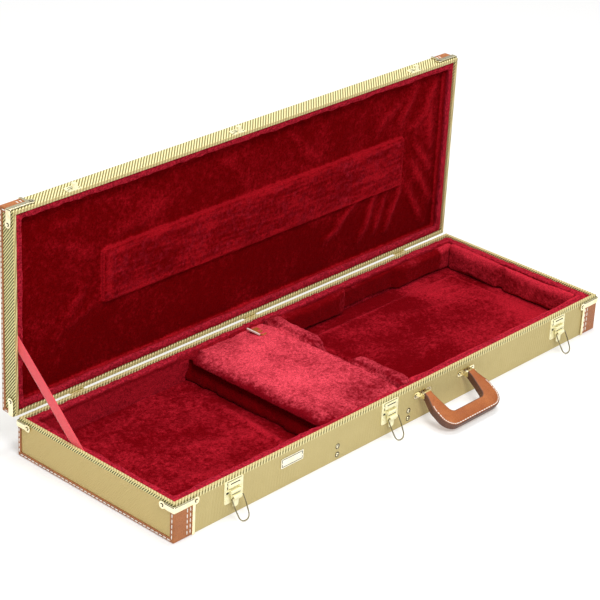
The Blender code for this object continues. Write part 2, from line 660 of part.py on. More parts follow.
def build():
    shell("tray", "tray_bottom_panel", 0.0, TRAY_HEIGHT)
    tray_edge = TRAY_HEIGHT - BRACKET_DROP - BRACKET_HEIGHT + 0.003
    lid_edge = LID_RIM + BRACKET_DROP + BRACKET_HEIGHT - 0.003
    lid_pieces = shell("lid", "lid_top_panel", LID_TOP, LID_RIM)
    for word_x, side_x in (("left", -1), ("right", 1)):
        leather_end(f"tray_leather_end_{word_x}", side_x, 0.0, tray_edge)
        lid_pieces.append(leather_end(f"lid_leather_end_{word_x}", side_x, LID_TOP, lid_edge))
        for word_y, side_y in (("front", -1), ("back", 1)):
            corner_bracket(f"tray_corner_bracket_{word_y}_{word_x}", side_x, side_y,
                           TRAY_HEIGHT, 0.0)
            lid_pieces.append(corner_bracket(f"lid_corner_bracket_{word_y}_{word_x}",
                                             side_x, side_y, LID_RIM, LID_TOP))
    tray_linings()
    body_bolsters()
    pocket()
    neck_cradle()
    handle()
    nameplate()
    lid_pieces.extend(lid_linings())
    for number, x in enumerate(HINGE_X, 1):
        tray_leaf, lid_leaf, pin = hinge(number, x)
        lid_pieces.append(lid_leaf)
    for number, x in enumerate(LATCH_X, 1):
        lid_pieces.append(latch(number, x)[-1])
    lid_pivot = pivot("lid_pivot", (0, HINGE_Y, HINGE_Z))
    hang(lid_pivot, *lid_pieces)
    lid_pivot.rotation_euler.x = -OPEN_ANGLE
    cut(bpy.data.objects["lid_lining"], strap_blank("lid_strap_slot", STRAP_MARGIN))
    strap_blank("lid_strap", kind="ribbon")
    bpy.context.view_layer.update()


build()
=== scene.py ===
"""Looks for the open guitar case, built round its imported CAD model.

Closed coordinates are the case's own with the lid shut; opened() turns them to the
position the lid rests in. All lengths are metres.
"""

import math

import bmesh
import bpy
import numpy as np
from mathutils import Matrix, Vector


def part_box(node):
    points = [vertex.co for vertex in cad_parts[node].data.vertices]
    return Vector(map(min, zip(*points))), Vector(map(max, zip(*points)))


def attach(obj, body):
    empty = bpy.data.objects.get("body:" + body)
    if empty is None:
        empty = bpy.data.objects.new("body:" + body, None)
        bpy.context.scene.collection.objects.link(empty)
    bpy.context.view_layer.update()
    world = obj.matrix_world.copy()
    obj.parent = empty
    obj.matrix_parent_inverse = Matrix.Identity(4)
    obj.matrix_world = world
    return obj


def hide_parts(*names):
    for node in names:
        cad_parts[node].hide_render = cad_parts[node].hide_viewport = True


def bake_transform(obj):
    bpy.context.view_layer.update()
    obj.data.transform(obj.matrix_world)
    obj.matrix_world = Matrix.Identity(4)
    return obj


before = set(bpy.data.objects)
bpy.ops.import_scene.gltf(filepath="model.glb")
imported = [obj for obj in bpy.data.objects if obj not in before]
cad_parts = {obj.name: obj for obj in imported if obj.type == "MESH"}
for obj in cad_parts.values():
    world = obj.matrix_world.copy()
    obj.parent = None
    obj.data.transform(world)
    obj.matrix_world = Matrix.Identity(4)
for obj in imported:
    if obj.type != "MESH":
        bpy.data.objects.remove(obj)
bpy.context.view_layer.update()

# The case's own measures, as in the CAD source
HALF_LENGTH = 0.525         # over the leather ends
HALF_WIDTH = 0.176          # over the leather ends
TRAY_RIM = 0.068
LID_TOP = 0.1006
LID_RIM = 0.0686
LEATHER_BORDER = 0.008      # folded onto the end face
HINGE_Y, HINGE_Z = 0.1767, 0.064
FACE = -0.1748              # the tray's front, which carries the latches
PLATE = 0.0012              # thickness of the brass plates

# The camera, solved from the case's own edges
LENS, SENSOR = 128.4, 36.0
EYE = (-2.403, -2.076, 1.728)
EYE_RIGHT = (0.6821, -0.7299, 0.0469)
EYE_UP = (0.2949, 0.3332, 0.8956)


# ---------------------------------------------------------------- camera and light

def camera():
    data = bpy.data.cameras.new("camera")
    data.lens = LENS
    data.sensor_width = SENSOR
    data.clip_end = 50.0
    eye = bpy.data.objects.new("camera", data)
    right = Vector(EYE_RIGHT)
    back = right.cross(Vector(EYE_UP)).normalized()
    up = back.cross(right).normalized()
    turn = Matrix((right, up, back)).transposed().to_4x4()
    eye.matrix_world = Matrix.Translation(EYE) @ turn
    bpy.context.scene.collection.objects.link(eye)
    bpy.context.scene.camera = eye


def area_light(name, location, target, size, energy):
    data = bpy.data.lights.new(name, "AREA")
    data.shape = "DISK"
    data.size = size
    data.energy = energy
    lamp = bpy.data.objects.new(name, data)
    lamp.location = location
    aim = Vector(target) - Vector(location)
    lamp.rotation_euler = aim.to_track_quat("-Z", "Y").to_euler()
    bpy.context.scene.collection.objects.link(lamp)


def studio():
    """A sky that pales upwards, two soft lamps and a pale paper floor."""
    scene = bpy.context.scene
    scene.view_settings.view_transform = "Standard"
    world = bpy.data.worlds.new("studio")
    world.use_nodes = True
    tree = world.node_tree
    coords = tree.nodes.new("ShaderNodeTexCoord")
    axes = tree.nodes.new("ShaderNodeSeparateXYZ")
    rise = tree.nodes.new("ShaderNodeMapRange")
    rise.interpolation_type = "SMOOTHSTEP"
    for socket, value in (("From Min", 0.0), ("From Max", 0.75),
                          ("To Min", 0.10), ("To Max", 1.0)):
        rise.inputs[socket].default_value = value
    tree.links.new(coords.outputs["Generated"], axes.inputs[0])
    tree.links.new(axes.outputs["Z"], rise.inputs["Value"])
    tree.links.new(rise.outputs["Result"], tree.nodes["Background"].inputs["Color"])
    tree.nodes["Background"].inputs["Strength"].default_value = 0.80
    scene.world = world
    area_light("key", (-1.2, -2.0, 3.0), (0.0, 0.0, 0.1), 1.2, 70)
    area_light("top", (0.4, 0.2, 3.2), (0.0, 0.0, 0.0), 1.5, 45)

    bm = bmesh.new()
    bmesh.ops.create_grid(bm, x_segments=1, y_segments=1, size=40.0)
    mesh = made_mesh(bm, "floor")
    floor = bpy.data.objects.new("floor", mesh)
    floor.location.z = -0.0003  # just under the case, so the two never share a plane
    material, shader = blank_material("floor_paper")
    shader.inputs["Base Color"].default_value = (0.62, 0.62, 0.62, 1.0)
    shader.inputs["Emission Color"].default_value = (1.0, 0.99, 0.97, 1.0)
    shader.inputs["Emission Strength"].default_value = 0.34
    shader.inputs["Roughness"].default_value = 0.9
    mesh.materials.append(material)
    scene.collection.objects.link(floor)


# ---------------------------------------------------------------- materials

def blank_material(name):
    material = bpy.data.materials.new(name)
    material.use_nodes = True
    return material, material.node_tree.nodes["Principled BSDF"]


class Nodes:
    """Short calls for building one material's node tree."""

    def __init__(self, name, roughness=0.5, metallic=0.0, specular=0.5):
        self.material, self.shader = blank_material(name)
        self.tree = self.material.node_tree
        self.shader.inputs["Roughness"].default_value = roughness
        self.shader.inputs["Metallic"].default_value = metallic
        self.shader.inputs["Specular IOR Level"].default_value = specular
        self.coords = self.add("ShaderNodeTexCoord").outputs["Object"]
        self.normal = self.add("ShaderNodeTexCoord").outputs["Normal"]

    def add(self, kind, **values):
        node = self.tree.nodes.new(kind)
        for key, value in values.items():
            setattr(node, key, value)
        return node

    def link(self, source, target):
        if isinstance(source, (int, float)):
            target.default_value = source
        else:
            self.tree.links.new(source, target)

    def math(self, operation, *values):
        node = self.add("ShaderNodeMath", operation=operation)
        for value, socket in zip(values, node.inputs):
            self.link(value, socket)
        return node.outputs[0]

    def times(self, value, factor):
        return self.math("MULTIPLY", value, factor)

    def total(self, *parts):
        """The sum of some parts, each one a socket or a (socket, weight) pair."""
        terms = [self.times(*part) if isinstance(part, tuple) else part for part in parts]
        result = terms[0]
        for term in terms[1:]:
            result = self.math("ADD", result, term)
        return result

    def noise(self, scale, detail=2.0, roughness=0.5, stretch=None):
        node = self.add("ShaderNodeTexNoise")
        node.inputs["Scale"].default_value = scale
        node.inputs["Detail"].default_value = detail
        node.inputs["Roughness"].default_value = roughness
        self.link(self.stretched(stretch), node.inputs["Vector"])
        return node.outputs["Fac"]

    def voronoi(self, scale, feature="F1"):
        node = self.add("ShaderNodeTexVoronoi", feature=feature)
        node.inputs["Scale"].default_value = scale
        self.link(self.coords, node.inputs["Vector"])
        return node.outputs["Distance"]

    def stretched(self, stretch):
        if stretch is None:
            return self.coords
        node = self.add("ShaderNodeMapping")
        node.inputs["Scale"].default_value = stretch
        self.link(self.coords, node.inputs["Vector"])
        return node.outputs["Vector"]

    def axes(self, vector=None):
        node = self.add("ShaderNodeSeparateXYZ")
        self.link(vector or self.coords, node.inputs[0])
        return node.outputs

    def step(self, value, low, high, start=0.0, end=1.0):
        """From start to end as value goes from low to high."""
        node = self.add("ShaderNodeMapRange", interpolation_type="SMOOTHSTEP")
        self.link(value, node.inputs["Value"])
        node.inputs["From Min"].default_value = low
        node.inputs["From Max"].default_value = high
        node.inputs["To Min"].default_value = start
        node.inputs["To Max"].default_value = end
        return node.outputs["Result"]

    def mix(self, factor, a, b):
        node = self.add("ShaderNodeMix", data_type="RGBA")
        self.link(factor, node.inputs["Factor"])
        for value, socket in ((a, node.inputs["A"]), (b, node.inputs["B"])):
            if isinstance(value, tuple):
                socket.default_value = (*value, 1.0)
            else:
                self.link(value, socket)
        return node.outputs["Result"]

    def wave(self, value, pitch):
        return self.math("SINE", self.times(value, 2 * math.pi / pitch))

    def blend(self, factor, a, b):
        node = self.add("ShaderNodeMix", data_type="FLOAT")
        for value, socket in ((factor, "Factor"), (a, "A"), (b, "B")):
            self.link(value, node.inputs[socket])
        return node.outputs["Result"]

    def colour(self, source):
        self.link(source, self.shader.inputs["Base Color"])

    def rough(self, source):
        self.link(source, self.shader.inputs["Roughness"])

    def bump(self, height, distance, strength=1.0):
        node = self.add("ShaderNodeBump")
        node.inputs["Strength"].default_value = strength
        node.inputs["Distance"].default_value = distance
        self.link(height, node.inputs["Height"])
        self.link(node.outputs["Normal"], self.shader.inputs["Normal"])


def tweed(name, rim_axis, rim_low=None):
    """Twill of cream, straw and olive threads.

    The rim, which faces rim_axis, is quieter than the sides; with rim_low, the sides
    stand out only above that height.
    """
    rib_pitch = 0.0062
    n = Nodes(name, roughness=0.62, specular=0.3)
    x, y, z = n.axes()
    facing = n.axes(n.normal)
    end_on = n.step(n.math("ABSOLUTE", facing[0]), 0.4, 0.6)
    on_rim = n.step(n.math("ABSOLUTE", facing[rim_axis]), 0.4, 0.6)
    ribs = n.wave(n.total(x, (y, -1.07), (z, -0.12)), rib_pitch)
    first = n.wave(n.total((y, 1.15), (z, 0.9)), 0.0054)
    second = n.wave(n.total((y, 1.15), (z, -1.0)), 0.0052)
    dots = n.total(first, (second, 0.55))
    weave = n.step(n.blend(end_on, ribs, dots), -0.6, 0.6)
    fine = n.wave(n.total(x, y, z), 0.0023)
    fleck = n.noise(900, 2.0)
    light = n.mix(fleck, (0.82, 0.72, 0.33), (1.0, 0.92, 0.54))
    dark = n.mix(fleck, (0.13, 0.10, 0.025), (0.26, 0.205, 0.06))
    dark = n.mix(end_on, dark, (0.02, 0.013, 0.003))
    light = n.mix(end_on, light, (1.0, 0.92, 0.42))
    bold = n.mix(weave, dark, light)
    calm = n.mix(n.noise(45, 4.0), (0.54, 0.43, 0.18), (0.60, 0.49, 0.22))
    # Painted light: the end faces' plain tone is paler and warmer, where the key light falls
    calm = n.mix(n.times(end_on, 0.6), calm, (0.74, 0.54, 0.205))
    calm = n.mix(n.times(n.step(fine, -1.0, 1.0), 0.22), calm, (0.38, 0.295, 0.09))
    calm = n.mix(n.times(n.step(fleck, 0.5, 0.75), 0.30), calm, (0.74, 0.64, 0.33))
    strength = n.blend(on_rim, 0.94, 0.38)
    if rim_low is not None:
        wander = n.total(z, (n.wave(x, rib_pitch), 0.0010))
        strength = n.times(strength, n.step(wander, rim_low, rim_low + 0.0015))
    n.colour(n.mix(strength, calm, bold))
    n.bump(n.total(weave, (fine, 0.5)), 0.00030, 0.6)
    return n.material


def leather(name, base, edge):
    """Pebbled hide with soft blotches and a slight wax shine."""
    n = Nodes(name, roughness=0.42, specular=0.45)
    pores = n.voronoi(900)
    creases = n.voronoi(420, "DISTANCE_TO_EDGE")
    blotch = n.noise(28, 4.0)
    fine = n.noise(380, 3.0)
    tone = n.mix(n.step(blotch, 0.35, 0.7), base, edge)
    deep = tuple(c * 0.75 for c in base)
    n.colour(n.mix(n.times(n.step(fine, 0.45, 0.7), 0.5), tone, deep))
    n.rough(n.step(n.total(fine, blotch), 0.7, 1.3, 0.34, 0.55))
    n.bump(n.total((pores, 0.5), n.step(creases, 0.0, 0.12), (fine, 0.6)), 0.00025, 0.7)
    return n.material


def plush(name, deep, bright, low, high, edge=None):
    """Deep pile brushed this way and that, painted pale where it would catch light.

    A mesh's own nap_and_painted_light attribute lifts the tone: painted highlight on folds
    and on faces towards the light, painted shade under overhangs and in creases, and
    patches of brushing. The tone goes from deep to bright as that goes from low to high;
    edge is (axis, start, end, colour) for a painted highlight along the pile's turned edge.
    """
    n = Nodes(name, roughness=1.0, specular=0.0)
    n.shader.inputs["Sheen Weight"].default_value = 0.35
    n.shader.inputs["Sheen Roughness"].default_value = 0.35
    n.shader.inputs["Sheen Tint"].default_value = (1.0, 0.045, 0.075, 1.0)
    patches = n.noise(15, 3.0)
    clumps = n.noise(85, 3.0, 0.6)
    tufts = n.noise(230, 3.0, 0.65)
    fibres = n.noise(640, 3.0, 0.7)
    nap_and_light_attr = n.add("ShaderNodeAttribute", attribute_name="nap_and_painted_light").outputs["Fac"]
    nap_and_painted_light = n.total((patches, 0.24), (clumps, 0.34), (tufts, 0.42), (nap_and_light_attr, 0.24))
    tone = n.mix(n.step(nap_and_painted_light, low, high), deep, bright)
    # Painted highlight: a ragged pale band along the pile's turned edge
    if edge:
        axis, start, end, pale = edge
        drift = 0.003  # the mean of the clumps' part in the ragged line
        ragged = n.total(n.axes()[axis], (clumps, 2 * drift))
        pale = n.mix(n.step(tufts, 0.40, 0.60), tuple(c * 0.55 for c in pale), pale)
        tone = n.mix(n.times(n.step(ragged, start + drift, end + drift), 0.9), tone, pale)
    # Painted shade: darker between the tufts and between the fibres
    shade = tuple(c * 0.45 for c in deep)
    gaps = n.math("MAXIMUM", n.times(n.step(fibres, 0.40, 0.60, 1.0, 0.0), 0.55),
                  n.times(n.step(tufts, 0.34, 0.46, 1.0, 0.0), 0.50))
    n.colour(n.mix(gaps, tone, shade))
    n.bump(n.total((clumps, 0.7), (tufts, 0.6), (fibres, 0.3)), 0.0024, 0.9)
    return n.material


def metal(name, base, tint, roughness, metallic=1.0):
    """Plated metal with faint brushing, handling marks and tarnish."""
    n = Nodes(name, roughness=roughness, metallic=metallic)
    cloud = n.noise(90, 3.0)
    scratch = n.noise(1500, 2.0, stretch=(1.0, 0.08, 1.0))
    n.colour(n.mix(n.step(cloud, 0.4, 0.75), base, tint))
    n.rough(n.step(n.total(cloud, scratch), 0.7, 1.3, roughness * 0.75, roughness * 1.5))
    n.bump(scratch, 0.00006, 0.5)
    return n.material


def ribbon(name):
    """Closely woven ribbon, its weft and warp square to the strap's slope."""
    n = Nodes(name, roughness=0.55, specular=0.3)
    n.shader.inputs["Sheen Weight"].default_value = 0.3
    _, y, z = n.axes()
    weft = n.wave(n.total((y, 0.74), (z, 0.67)), 0.0012)
    warp = n.wave(n.total((y, 0.67), (z, -0.74)), 0.0016)
    grain = n.math("MULTIPLY", weft, warp)
    n.colour(n.mix(n.step(grain, -0.8, 0.8), (0.88, 0.06, 0.08), (1.0, 0.095, 0.12)))
    n.bump(grain, 0.0002, 0.5)
    return n.material


def thread(name, base):
    """Twisted thread, a little uneven in tone."""
    n = Nodes(name, roughness=0.6, specular=0.3)
    twist = n.noise(1800, 2.0)
    n.colour(n.mix(twist, base, tuple(c * 0.82 for c in base)))
    n.bump(twist, 0.0002, 0.5)
    return n.material


# ---------------------------------------------------------------- mesh helpers

def opened(points):
    """Closed coordinates turned to where the open lid has them."""
    p = np.asarray(points, float)
    return np.stack([p[:, 0], p[:, 2] - HINGE_Z + HINGE_Y, HINGE_Z + HINGE_Y - p[:, 1]], 1)


def made_mesh(bm, name):
    mesh = bpy.data.meshes.new(name)
    bm.to_mesh(mesh)
    bm.free()
    return mesh


def mesh_object(name, vertices, faces, material, smooth=True):
    mesh = bpy.data.meshes.new(name)
    mesh.from_pydata([tuple(v) for v in vertices], [], [tuple(f) for f in faces])
    return finish_mesh(name, mesh, material, smooth)


def finish_mesh(name, mesh, material, smooth=True):
    mesh.materials.clear()
    mesh.materials.append(material)
    mesh.polygons.foreach_set("use_smooth", [smooth] * len(mesh.polygons))
    mesh.update()
    piece = bpy.data.objects.new(name, mesh)
    bpy.context.scene.collection.objects.link(piece)
    return piece


def lumps(points, size, seed):
    """Smooth noise from -1 to 1, its lumps about size across.

    Each corner of a point's grid cell gets a value from an integer hash.
    """
    p = points / size + seed * 13.7
    cell = np.floor(p).astype(np.int64)
    t = p - cell
    t = t * t * (3 - 2 * t)
    total = np.zeros(len(p))
    for corner in np.ndindex(2, 2, 2):
        c = cell + np.array(corner)
        h = (c[:, 0] * 73856093) ^ (c[:, 1] * 19349663) ^ (c[:, 2] * 83492791) ^ (seed * 7919)
        h = (h ^ (h >> 13)) * 1274126177
        h = (h ^ (h >> 16)) & 0xFFFF
        weight = np.prod(np.where(np.array(corner) == 1, t, 1 - t), axis=1)
        total += weight * (h / 32767.5 - 1)
    return total


def evaluated_mesh(piece):
    bpy.context.view_layer.update()
    shown = piece.evaluated_get(bpy.context.evaluated_depsgraph_get())
    return bpy.data.meshes.new_from_object(shown)


def joined_nodes(names):
    """One welded mesh of some CAD nodes."""
    bm = bmesh.new()
    for name in names:
        bm.from_mesh(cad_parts[name].data)
    bmesh.ops.remove_doubles(bm, verts=bm.verts, dist=1e-5)
    return made_mesh(bm, "joined")


def softened(mesh, voxel, smooth):
    """A voxel skin over a mesh, its corners rounded by smoothing."""
    piece = bpy.data.objects.new("soft", mesh)
    bpy.context.scene.collection.objects.link(piece)
    skin = piece.modifiers.new("skin", "REMESH")
    skin.mode = "VOXEL"
    skin.voxel_size = voxel
    relax = piece.modifiers.new("relax", "SMOOTH")
    relax.factor = 0.5
    relax.iterations = smooth
    result = evaluated_mesh(piece)
    bpy.data.objects.remove(piece, do_unlink=True)
    return result


def stuffed(mesh, swell):
    """The mesh as a cover blown up by its filling, no point moving further than swell."""
    if swell == 0:
        return mesh
    scene = bpy.context.scene
    last_frame = 20
    start, normals = vertex_arrays(mesh)
    set_points(mesh, start - normals * swell * 0.5)
    start, normals = vertex_arrays(mesh)
    cover = bpy.data.objects.new("cover", mesh)
    scene.collection.objects.link(cover)
    cloth = cover.modifiers.new("cloth", "CLOTH")
    cloth.settings.use_pressure = True
    cloth.settings.uniform_pressure_force = 4.0
    cloth.settings.effector_weights.gravity = 0.0
    for step in range(1, last_frame + 1):
        scene.frame_set(step)
    blown = evaluated_mesh(cover)
    end, _ = vertex_arrays(blown)
    cover.modifiers.clear()
    bpy.data.objects.remove(cover)
    scene.frame_set(1)
    move = end - start
    length = np.linalg.norm(move, axis=1)
    kept = np.minimum(length, swell) / np.maximum(length, 1e-9)
    set_points(mesh, start + move * kept[:, None])
    return mesh


def vertex_arrays(mesh):
    """A mesh's points and its vertex normals."""
    count = len(mesh.vertices)
    points = np.empty(count * 3)
    mesh.vertices.foreach_get("co", points)
    normals = np.empty(count * 3)
    mesh.vertices.foreach_get("normal", normals)
    return points.reshape(-1, 3), normals.reshape(-1, 3)


def set_points(mesh, points):
    mesh.vertices.foreach_set("co", points.ravel())
    mesh.update()


def furred(mesh, fur, seed):
    """Moves each point along its normal as tufts and soft hollows would."""
    points, normals = vertex_arrays(mesh)
    tufts = 0.6 * lumps(points, 0.0085, seed) + 0.6 * lumps(points, 0.0048, seed + 1)
    hollows = lumps(points, 0.035, seed + 2)
    set_points(mesh, points + normals * (fur * tufts + 0.6 * fur * hollows)[:, None])


def soft_piece(name, nodes, body, material, voxel, smooth, fur, seed, shape=None,
               swell=0):
    """A plush piece that stands for CAD nodes: remeshed, stuffed, shaped, furred, attached to its
    body.
    """
    mesh = stuffed(softened(joined_nodes(nodes), voxel, smooth), swell)
    points, normals = vertex_arrays(mesh)
    nap_and_painted_light = np.zeros(len(points))
    if shape:
        moved, nap_and_painted_light = shape(points, normals)
        set_points(mesh, moved)
    nap_and_painted_light = nap_and_painted_light + 0.25 * lumps(points, 0.050, seed + 5)
    mesh.attributes.new("nap_and_painted_light", "FLOAT", "POINT").data.foreach_set("value", nap_and_painted_light)
    furred(mesh, fur, seed)
    piece = finish_mesh(name, mesh, material)
    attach(piece, body)
    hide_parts(*nodes)


def smoothstep(value, low, high):
    t = np.clip((value - low) / (high - low), 0, 1)
    return t * t * (3 - 2 * t)


def ridge(x, y, start, end, height, width):
    """A fold's height at each point, along the line from start to end."""
    a, b = np.array(start), np.array(end)
    run = b - a
    along = np.clip(((x - a[0]) * run[0] + (y - a[1]) * run[1]) / (run @ run), 0, 1)
    away = np.hypot(x - a[0] - along * run[0], y - a[1] - along * run[1])
    fade = np.sin(np.pi * np.clip(along * 0.9 + 0.1, 0, 1)) ** 0.5
    return height * fade * np.exp(-(away / width) ** 2)


# ---------------------------------------------------------------- stitches and screws

def tube_faces(base, rings, sides):
    """The side faces of a tube of rings, its first vertex numbered base."""
    faces = []
    for ring in range(rings - 1):
        for k in range(sides):
            a = base + ring * sides + k
            b = base + ring * sides + (k + 1) % sides
            faces.append((a, b, b + sides, a + sides))
    return faces


def stitch_row(points, normal, pitch=0.0085, length=0.0070, radius=0.0010):
    """Capsule stitches along a straight run from points[0] to points[1]."""
    start, end = (np.array(p, float) for p in points)
    run = np.linalg.norm(end - start)
    along = (end - start) / run
    out = np.array(normal, float)
    side = np.cross(along, out)
    count = int(run / pitch)
    sides = 6
    rings = ((-0.5, 0.05), (-0.42, 0.75), (0.0, 1.0), (0.42, 0.75), (0.5, 0.05))
    vertices, faces = [], []
    for i in range(count):
        centre = start + along * (i + 0.5) * run / count
        base = len(vertices)
        for t, r in rings:
            for k in range(sides):
                angle = 2 * math.pi * k / sides
                offset = math.cos(angle) * side + math.sin(angle) * out
                vertices.append(centre + along * t * length + offset * radius * r)
        faces += tube_faces(base, len(rings), sides)
        faces.append(tuple(base + k for k in reversed(range(sides))))
        last = base + (len(rings) - 1) * sides
        faces.append(tuple(last + k for k in range(sides)))
    return vertices, faces


def joined(parts):
    """The vertices and faces of some (vertices, faces) parts as one."""
    vertices, faces = [], []
    for some, more in parts:
        faces += [tuple(i + len(vertices) for i in f) for f in more]
        vertices += some
    return vertices, faces


def stitches(name, rows, body, turn=None):
    """One piece of (points, normal) stitch rows."""
    vertices, faces = joined(stitch_row(points, normal) for points, normal in rows)
    if turn:
        vertices = turn(vertices)
    piece = mesh_object(name, vertices, faces, THREAD)
    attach(piece, body)


def leather_rows(side, face_z, rim_z):
    """Stitch lines of one leather end, in closed coordinates."""
    inward = 1 if rim_z > face_z else -1
    edge = rim_z - inward * 0.016  # clear of the corner bracket
    start = face_z + inward * 0.004
    end_x, end_y = side * HALF_LENGTH, HALF_WIDTH - 0.006
    rows = []
    for y_side in (-1, 1):
        for x in (0.4910, 0.4975):
            rows.append((((side * x, y_side * HALF_WIDTH, start),
                          (side * x, y_side * HALF_WIDTH, edge)), (0, y_side, 0)))
        y = y_side * (HALF_WIDTH - LEATHER_BORDER / 2)
        rows.append((((end_x, y, start + inward * 0.002), (end_x, y, edge)), (side, 0, 0)))
    z = face_z + inward * LEATHER_BORDER / 2
    rows.append((((end_x, -end_y, z), (end_x, end_y, z)), (side, 0, 0)))
    if inward < 0:  # the lid's two rows across its top panel
        for x in (0.4880, 0.4920):
            rows.append((((side * x, -end_y, face_z), (side * x, end_y, face_z)), (0, 0, 1)))
    return rows


def dome(centre, radius, height, slot_turn):
    """A screw head facing -Y: a low dome with a cross cut and a washer ring, which screws()
    paints dark as shade.

    Returns its vertices and faces, the washer's vertex count and where the cut starts.
    """
    profile = ((1.38, 0.0), (1.38, 0.14), (1.0, 0.14), (1.0, 0.30), (0.86, 0.60),
               (0.55, 0.86), (0.2, 1.0))
    sides = 20
    x, y, z = centre
    vertices = []
    for r, h in profile:
        for k in range(sides):
            angle = 2 * math.pi * k / sides
            vertices.append((x + radius * r * math.cos(angle), y - height * h,
                             z + radius * r * math.sin(angle)))
    faces = tube_faces(0, len(profile), sides)
    faces.append(tuple((len(profile) - 1) * sides + k for k in range(sides)))
    faces.append(tuple(k for k in reversed(range(sides))))
    half, wide = radius * 0.62, radius * 0.13
    for turn in (slot_turn, slot_turn + math.pi / 2):
        base = len(vertices)
        c, s = math.cos(turn), math.sin(turn)
        for depth in (0.5, 1.06):
            for a, b in ((-half, -wide), (half, -wide), (half, wide), (-half, wide)):
                vertices.append((x + a * c - b * s, y - height * depth, z + a * s + b * c))
        faces += [tuple(base + i for i in f) for f in
                  ((0, 1, 2, 3), (7, 6, 5, 4), (0, 4, 5, 1), (1, 5, 6, 2), (2, 6, 7, 3),
                   (3, 7, 4, 0))]
    return vertices, faces, 2 * sides, len(profile) * sides


def screws(name, body, centres, radius, height):
    domes = [dome(centre, radius, height, 0.5 + 0.9 * i) for i, centre in enumerate(centres)]
    # Painted shade: the washer rings and cross cuts are dark
    dark = [min(f) >= cut or min(f) < washer for _, faces, washer, cut in domes for f in faces]
    piece = mesh_object(name, *joined(part[:2] for part in domes), BRASS)
    piece.data.materials.append(GAP_SHADE_PAINT)
    piece.data.polygons.foreach_set("material_index", [int(d) for d in dark])
    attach(piece, body)


# ---------------------------------------------------------------- finishes

TWEED_TRAY = tweed("tweed_tray", 2, 0.0605)
TWEED_LID = tweed("tweed_lid", 1)
LEATHER = leather("leather_tan", (0.375, 0.116, 0.029), (0.465, 0.16, 0.046))
HANDLE_LEATHER = leather("leather_handle", (0.35, 0.088, 0.015), (0.45, 0.135, 0.028))
# The handle's dark edges: their burnish, darkened further as painted shade on the side faces
DARK_EDGE_AND_SHADE = leather("leather_edge_and_shade", (0.10, 0.035, 0.018), (0.16, 0.06, 0.03))
BRASS = metal("brass_plate", (0.98, 0.90, 0.62), (0.90, 0.78, 0.45), 0.22)
# Painted shade: dark bars, rings and cuts that stand for the shade in slots, beside hooks and
# levers and round nail heads; also the nameplate's engraved line
GAP_SHADE_PAINT = metal("gap_shade_paint", (0.022, 0.018, 0.010), (0.040, 0.032, 0.018), 0.6, 0.0)
STEEL = metal("pin_steel", (0.62, 0.60, 0.56), (0.48, 0.46, 0.42), 0.3)
THREAD = thread("white_thread", (0.95, 0.90, 0.82))
RIBBON = ribbon("coral_ribbon")
LATCH_PLATE = metal("latch_plate", (0.98, 0.93, 0.60), (0.92, 0.85, 0.50), 0.35, 0.25)
# Painted reflection: the bail wire darkened to stand for the dark reflections along it
BAIL_WIRE_PAINTED_REFLECTION = metal("bail_wire_painted_reflection", (0.34, 0.29, 0.16), (0.24, 0.20, 0.11), 0.2)
NAMEPLATE = metal("nameplate_face", (0.96, 0.92, 0.76), (0.90, 0.85, 0.66), 0.35)
# Painted highlight along the linings' turned edges
PAINTED_EDGE_HIGHLIGHT = (0.60, 0.024, 0.050)
PILE = ((0.16, 0.001, 0.003), (0.49, 0.013, 0.027), 0.37, 0.66)
PLUSH = plush("plush", *PILE)
PLUSH_TRAY = plush("plush_tray", *PILE, (2, 0.0610, 0.0640, PAINTED_EDGE_HIGHLIGHT))
# Lit and shaded copies of one pile: painted lighter for the bolsters' crests, the pocket's lid
# and the cradle, which face the light, and painted darker inside the lid, where shade falls
PLUSH_CREST_PAINTED_LIT = plush("plush_crest_painted_lit", (0.20, 0.002, 0.004), (0.66, 0.028, 0.052), 0.34, 0.72)
PLUSH_PAINTED_LIT = plush("plush_painted_lit", (0.20, 0.003, 0.008), (1.0, 0.090, 0.135), 0.22, 0.64)
PLUSH_LID_PAINTED_SHADE = plush("plush_lid", (0.150, 0.0006, 0.0012), (0.46, 0.008, 0.016), 0.43, 0.80,
                  (1, 0.1945, 0.1900, PAINTED_EDGE_HIGHLIGHT))


def paint_cad():
    """Gives every CAD node a finish; the nodes that pieces replace are hidden later."""
    for name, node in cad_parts.items():
        if name.startswith("tray_") and name.endswith(("_wall", "bottom_panel")):
            finish = TWEED_TRAY
        elif name.startswith("lid_") and name.endswith(("_wall", "top_panel")):
            finish = TWEED_LID
        elif "leather_end" in name:
            finish = LEATHER
        elif name.startswith("hinge_pin"):
            finish = STEEL
        elif name.startswith("latch_bail"):
            finish = BAIL_WIRE_PAINTED_REFLECTION
        elif name.startswith("latch"):
            finish = LATCH_PLATE
        elif name == "nameplate":
            finish = NAMEPLATE
        else:
            finish = BRASS
        for i in range(len(node.material_slots)):
            node.material_slots[i].material = finish


# ---------------------------------------------------------------- plush pieces

